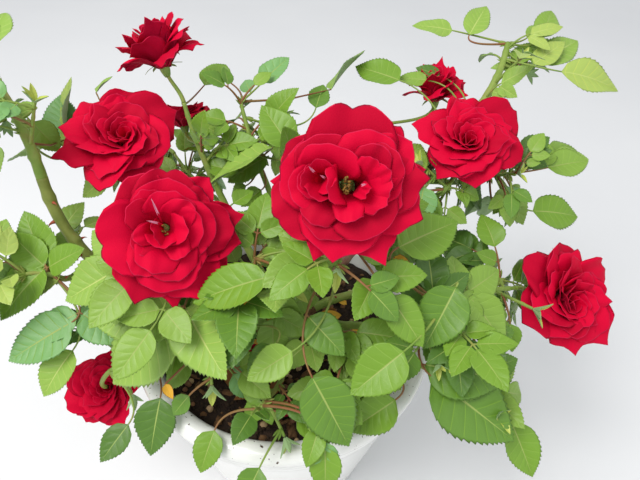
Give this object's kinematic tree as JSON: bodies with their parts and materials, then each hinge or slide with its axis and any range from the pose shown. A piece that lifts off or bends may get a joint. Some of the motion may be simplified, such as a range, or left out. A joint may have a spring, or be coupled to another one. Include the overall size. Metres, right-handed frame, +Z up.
{
  "type": "potted patio rose bush",
  "caption": "Low, spreading rose bush with velvety crimson blooms and toothed green leaves, growing in a white glazed pot with a rolled rim.",
  "frame": {"origin": "centre of the pot's flat underside, in the plane that it stands on", "axes": "+Z up along the pot's axis; -Y towards the side that the blooms face; +X to the right as seen from that side"},
  "size_m": [0.4662, 0.3255, 0.358],
  "materials": {
    "pot": "smooth white glaze",
    "soil": "moist bark-rich potting soil",
    "old_wood": "rough brown bark",
    "cane": "smooth green bark with prickles",
    "foliage": "green leaves with a soft sheen",
    "bloom": "velvety crimson petals"
  },
  "bodies": {
    "root": {"pot": "pot", "soil": "soil", "crown_stem": "old_wood", "cane_front": "cane", "cane_left_front": "cane", "cane_thorny_left": "cane", "cane_left_back": "cane", "cane_back": "cane", "cane_top_right": "cane", "cane_right": "cane", "cane_right_front": "cane", "cane_middle": "cane", "cane_heart_left": "cane", "cane_heart_right": "cane", "cane_left": "cane", "cane_left_side": "cane", "cane_left_low": "cane", "cane_front_low": "cane", "cane_right_back": "cane", "cane_far_right": "cane", "cane_right_low": "cane", "cane_back_left": "cane", "cane_back_right": "cane", "foliage_front": "foliage", "foliage_middle": "foliage", "foliage_heart_left": "foliage", "foliage_heart_right": "foliage", "foliage_left_front": "foliage", "foliage_left_low": "foliage", "foliage_left_top": "foliage", "foliage_left": "foliage", "foliage_left_back": "foliage", "foliage_back": "foliage", "foliage_right_back": "foliage", "foliage_top_right": "foliage", "foliage_far_right": "foliage", "foliage_right": "foliage", "foliage_right_front": "foliage", "foliage_front_low": "foliage", "foliage_right_low": "foliage", "foliage_left_bottom": "foliage", "foliage_back_left": "foliage", "foliage_back_right": "foliage", "bloom_front": "bloom", "bloom_left_front": "bloom", "bloom_left": "bloom", "bloom_left_back": "bloom", "bloom_left_behind": "bloom", "bloom_right_behind": "bloom", "bloom_right_back": "bloom", "bloom_right": "bloom", "bloom_left_bottom": "bloom", "bloom_back": "bloom", "bloom_back_left": "bloom"}
  },
  "joints": []
}
